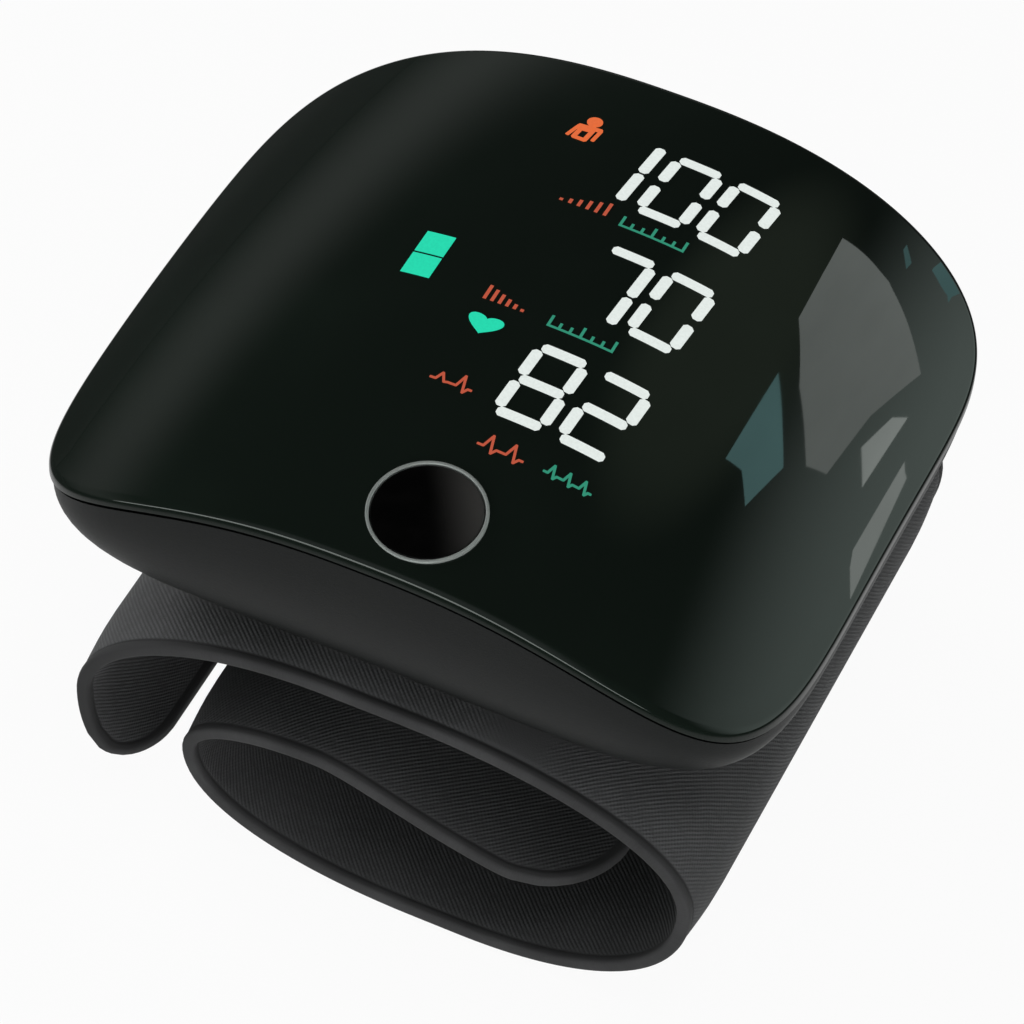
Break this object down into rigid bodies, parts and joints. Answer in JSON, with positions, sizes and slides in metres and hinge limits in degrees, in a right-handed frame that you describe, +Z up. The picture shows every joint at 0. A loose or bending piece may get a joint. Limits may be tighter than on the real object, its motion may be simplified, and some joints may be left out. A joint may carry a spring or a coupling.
{
  "type": "wrist blood pressure monitor",
  "caption": "Arched gloss-black monitor with a lit digital display and round start button, on a flat fabric wrist cuff rolled into a spiral.",
  "frame": {"origin": "on the surface that the cuff lies on, under the middle of the case", "axes": "+X along the display's lines to the reader's right, +Y along the wrist away from the start button, +Z up"},
  "size_m": [0.078, 0.0706, 0.054],
  "materials": {
    "gloss_black": "high-gloss tinted black cover",
    "case_grey": "fine matte dark grey moulding",
    "button_black": "gloss black",
    "silver": "thin bright trim ring",
    "steel": "plain zinc or steel",
    "board_green": "green solder mask",
    "white_plastic": "white moulded plastic",
    "black_plastic": "black moulded plastic",
    "foil": "laminated foil pouch",
    "silicone": "clear silicone tube",
    "cuff_cloth": "fine twill loop fabric, dark grey",
    "cuff_lining": "fine twill lining, near black",
    "bladder": "thin welded film",
    "hook_tape": "hook tape"
  },
  "bodies": {
    "cuff_wrap": {"cuff_bend_cover": "cuff_cloth", "cuff_base_cover": "cuff_cloth", "cuff_roll_cover": "cuff_cloth", "cuff_tongue_cover": "cuff_cloth", "cuff_wrap_lining": "cuff_lining", "cuff_wrap_bladder": "bladder", "hook_strip": "hook_tape"},
    "main_unit": {"top_cover": "gloss_black", "lower_case": "case_grey", "button_ring": "silver", "case_screw_1": "steel", "case_screw_2": "steel", "case_screw_3": "steel", "case_screw_4": "steel", "board_screw_1": "steel", "board_screw_2": "steel", "board_screw_3": "steel", "board_screw_4": "steel", "main_board": "board_green", "display_guide": "white_plastic", "tact_switch": "black_plastic", "controller_chip": "black_plastic", "usb_socket": "steel", "battery": "foil", "pump_head": "black_plastic", "motor_can": "steel", "pump_tube": "silicone", "air_manifold": "white_plastic", "pressure_sensor": "black_plastic", "sensor_tube": "silicone", "valve_body": "steel", "cuff_plate": "black_plastic", "cuff_upper_cover": "cuff_cloth", "cuff_upper_lining": "cuff_lining", "cuff_upper_bladder": "bladder"},
    "cuff_tail": {"cuff_tail_cover": "cuff_cloth", "cuff_tail_lining": "cuff_lining"},
    "start_button": {"button_cap": "button_black"},
    "switch_pin": {"switch_plunger": "white_plastic"},
    "rotor": {"pump_rotor": "steel"},
    "valve_pin": {"valve_plunger": "steel"}
  },
  "joints": [
    {"name": "cuff_open", "type": "hinge", "parent": "cuff_wrap", "child": "main_unit", "pos_m": [0.02989, 0, 0.0255], "axis": [0, 1, 0], "range_deg": [0, 60], "stiffness_Nm_per_rad": 0.05},
    {"name": "tail_flex", "type": "hinge", "parent": "main_unit", "child": "cuff_tail", "pos_m": [-0.01656, 0, 0.02921], "axis": [0, 1, 0], "range_deg": [0, 30], "stiffness_Nm_per_rad": 0.02},
    {"name": "button_press", "type": "slide", "parent": "main_unit", "child": "start_button", "axis": [0, 0.1251, -0.9921], "range_m": [0, 0.0006], "stiffness_N_per_m": 600},
    {"name": "switch_travel", "type": "slide", "parent": "main_unit", "child": "switch_pin", "axis": [0, 0, -1], "range_m": [0, 0.00075]},
    {"name": "pump_spin", "type": "hinge", "parent": "main_unit", "child": "rotor", "pos_m": [0.0125, 0.01, 0.0376], "axis": [1, 0, 0], "continuous": true},
    {"name": "valve_lift", "type": "slide", "parent": "main_unit", "child": "valve_pin", "axis": [0, 0, 1], "range_m": [0, 0.0008], "stiffness_N_per_m": 300}
  ],
  "couplings": [
    {"joint": "switch_travel", "follows": "button_press", "ratio": 1}
  ]
}
